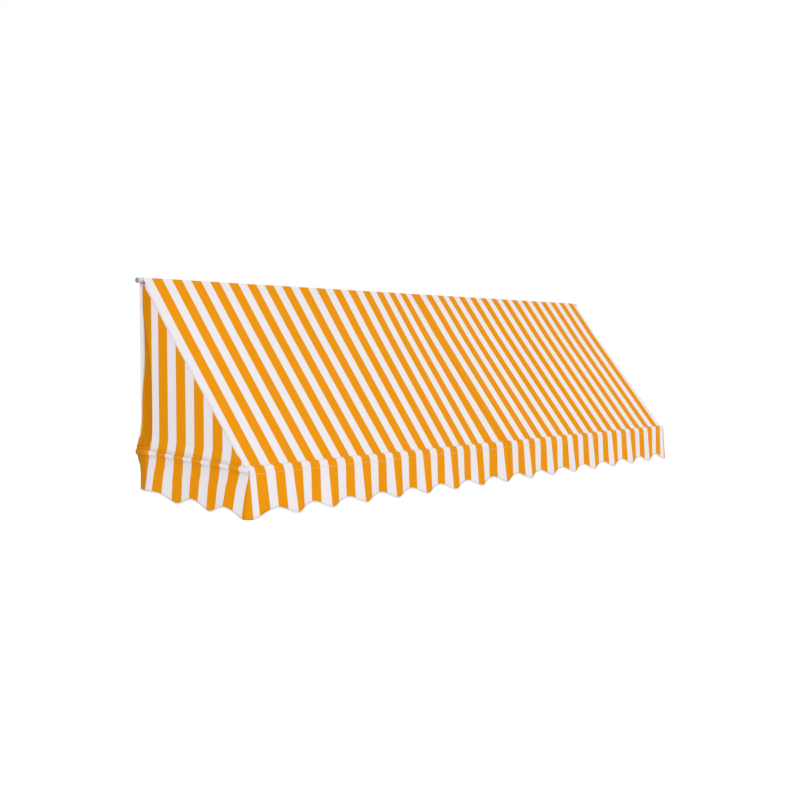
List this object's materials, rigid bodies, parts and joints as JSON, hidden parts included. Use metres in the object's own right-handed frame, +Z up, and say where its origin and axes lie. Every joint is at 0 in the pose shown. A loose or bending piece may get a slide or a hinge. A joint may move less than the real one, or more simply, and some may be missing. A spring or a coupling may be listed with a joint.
{
  "type": "fabric awning",
  "caption": "Wall awning: striped cloth canopy with scalloped valances sewn over a rigid frame of round tube, held by wall brackets.",
  "frame": {"origin": "on the wall plane at the middle head bracket's back face, level with the head tube's axis", "axes": "+X along the wall, +Y into the wall, +Z up; the awning stands out towards -Y"},
  "size_m": [4.054, 0.8086, 1.0989],
  "materials": {
    "striped_cloth": "woven, matte",
    "pale_cloth": "woven, matte",
    "tube_coat": "satin powder coat",
    "zinc_plate": "zinc plated",
    "grey_plastic": "moulded"
  },
  "bodies": {
    "root": {"arm_grub_screw_left": "zinc_plate", "arm_grub_screw_right": "zinc_plate", "arm_pocket_left": "pale_cloth", "arm_pocket_right": "pale_cloth", "arm_socket_left": "zinc_plate", "arm_socket_right": "zinc_plate", "arm_socket_screw_left_lower": "zinc_plate", "arm_socket_screw_left_upper": "zinc_plate", "arm_socket_screw_right_lower": "zinc_plate", "arm_socket_screw_right_upper": "zinc_plate", "canopy_width_left": "striped_cloth", "canopy_width_right": "striped_cloth", "corner_elbow_left": "grey_plastic", "corner_elbow_right": "grey_plastic", "corner_gusset_left": "striped_cloth", "corner_gusset_right": "striped_cloth", "elbow_arm_rivet_left": "zinc_plate", "elbow_arm_rivet_right": "zinc_plate", "elbow_rail_rivet_left": "zinc_plate", "elbow_rail_rivet_right": "zinc_plate", "front_rail_joiner": "zinc_plate", "front_rail_left": "tube_coat", "front_rail_right": "tube_coat", "head_bracket_left": "zinc_plate", "head_bracket_middle": "zinc_plate", "head_bracket_right": "zinc_plate", "head_bracket_screw_left_lower": "zinc_plate", "head_bracket_screw_left_upper": "zinc_plate", "head_bracket_screw_middle_lower": "zinc_plate", "head_bracket_screw_middle_upper": "zinc_plate", "head_bracket_screw_right_lower": "zinc_plate", "head_bracket_screw_right_upper": "zinc_plate", "head_clamp_screw_left": "zinc_plate", "head_clamp_screw_middle": "zinc_plate", "head_clamp_screw_right": "zinc_plate", "head_joint_rivet_left": "zinc_plate", "head_joint_rivet_right": "zinc_plate", "head_tube_joiner": "zinc_plate", "head_tube_left": "tube_coat", "head_tube_plug_left": "grey_plastic", "head_tube_plug_right": "grey_plastic", "head_tube_right": "tube_coat", "rail_joint_rivet_left": "zinc_plate", "rail_joint_rivet_right": "zinc_plate", "rail_pocket": "pale_cloth", "side_arm_left": "tube_coat", "side_arm_right": "tube_coat", "side_panel_left": "striped_cloth", "side_panel_right": "striped_cloth", "side_valance_left": "striped_cloth", "side_valance_right": "striped_cloth"}
  },
  "joints": []
}
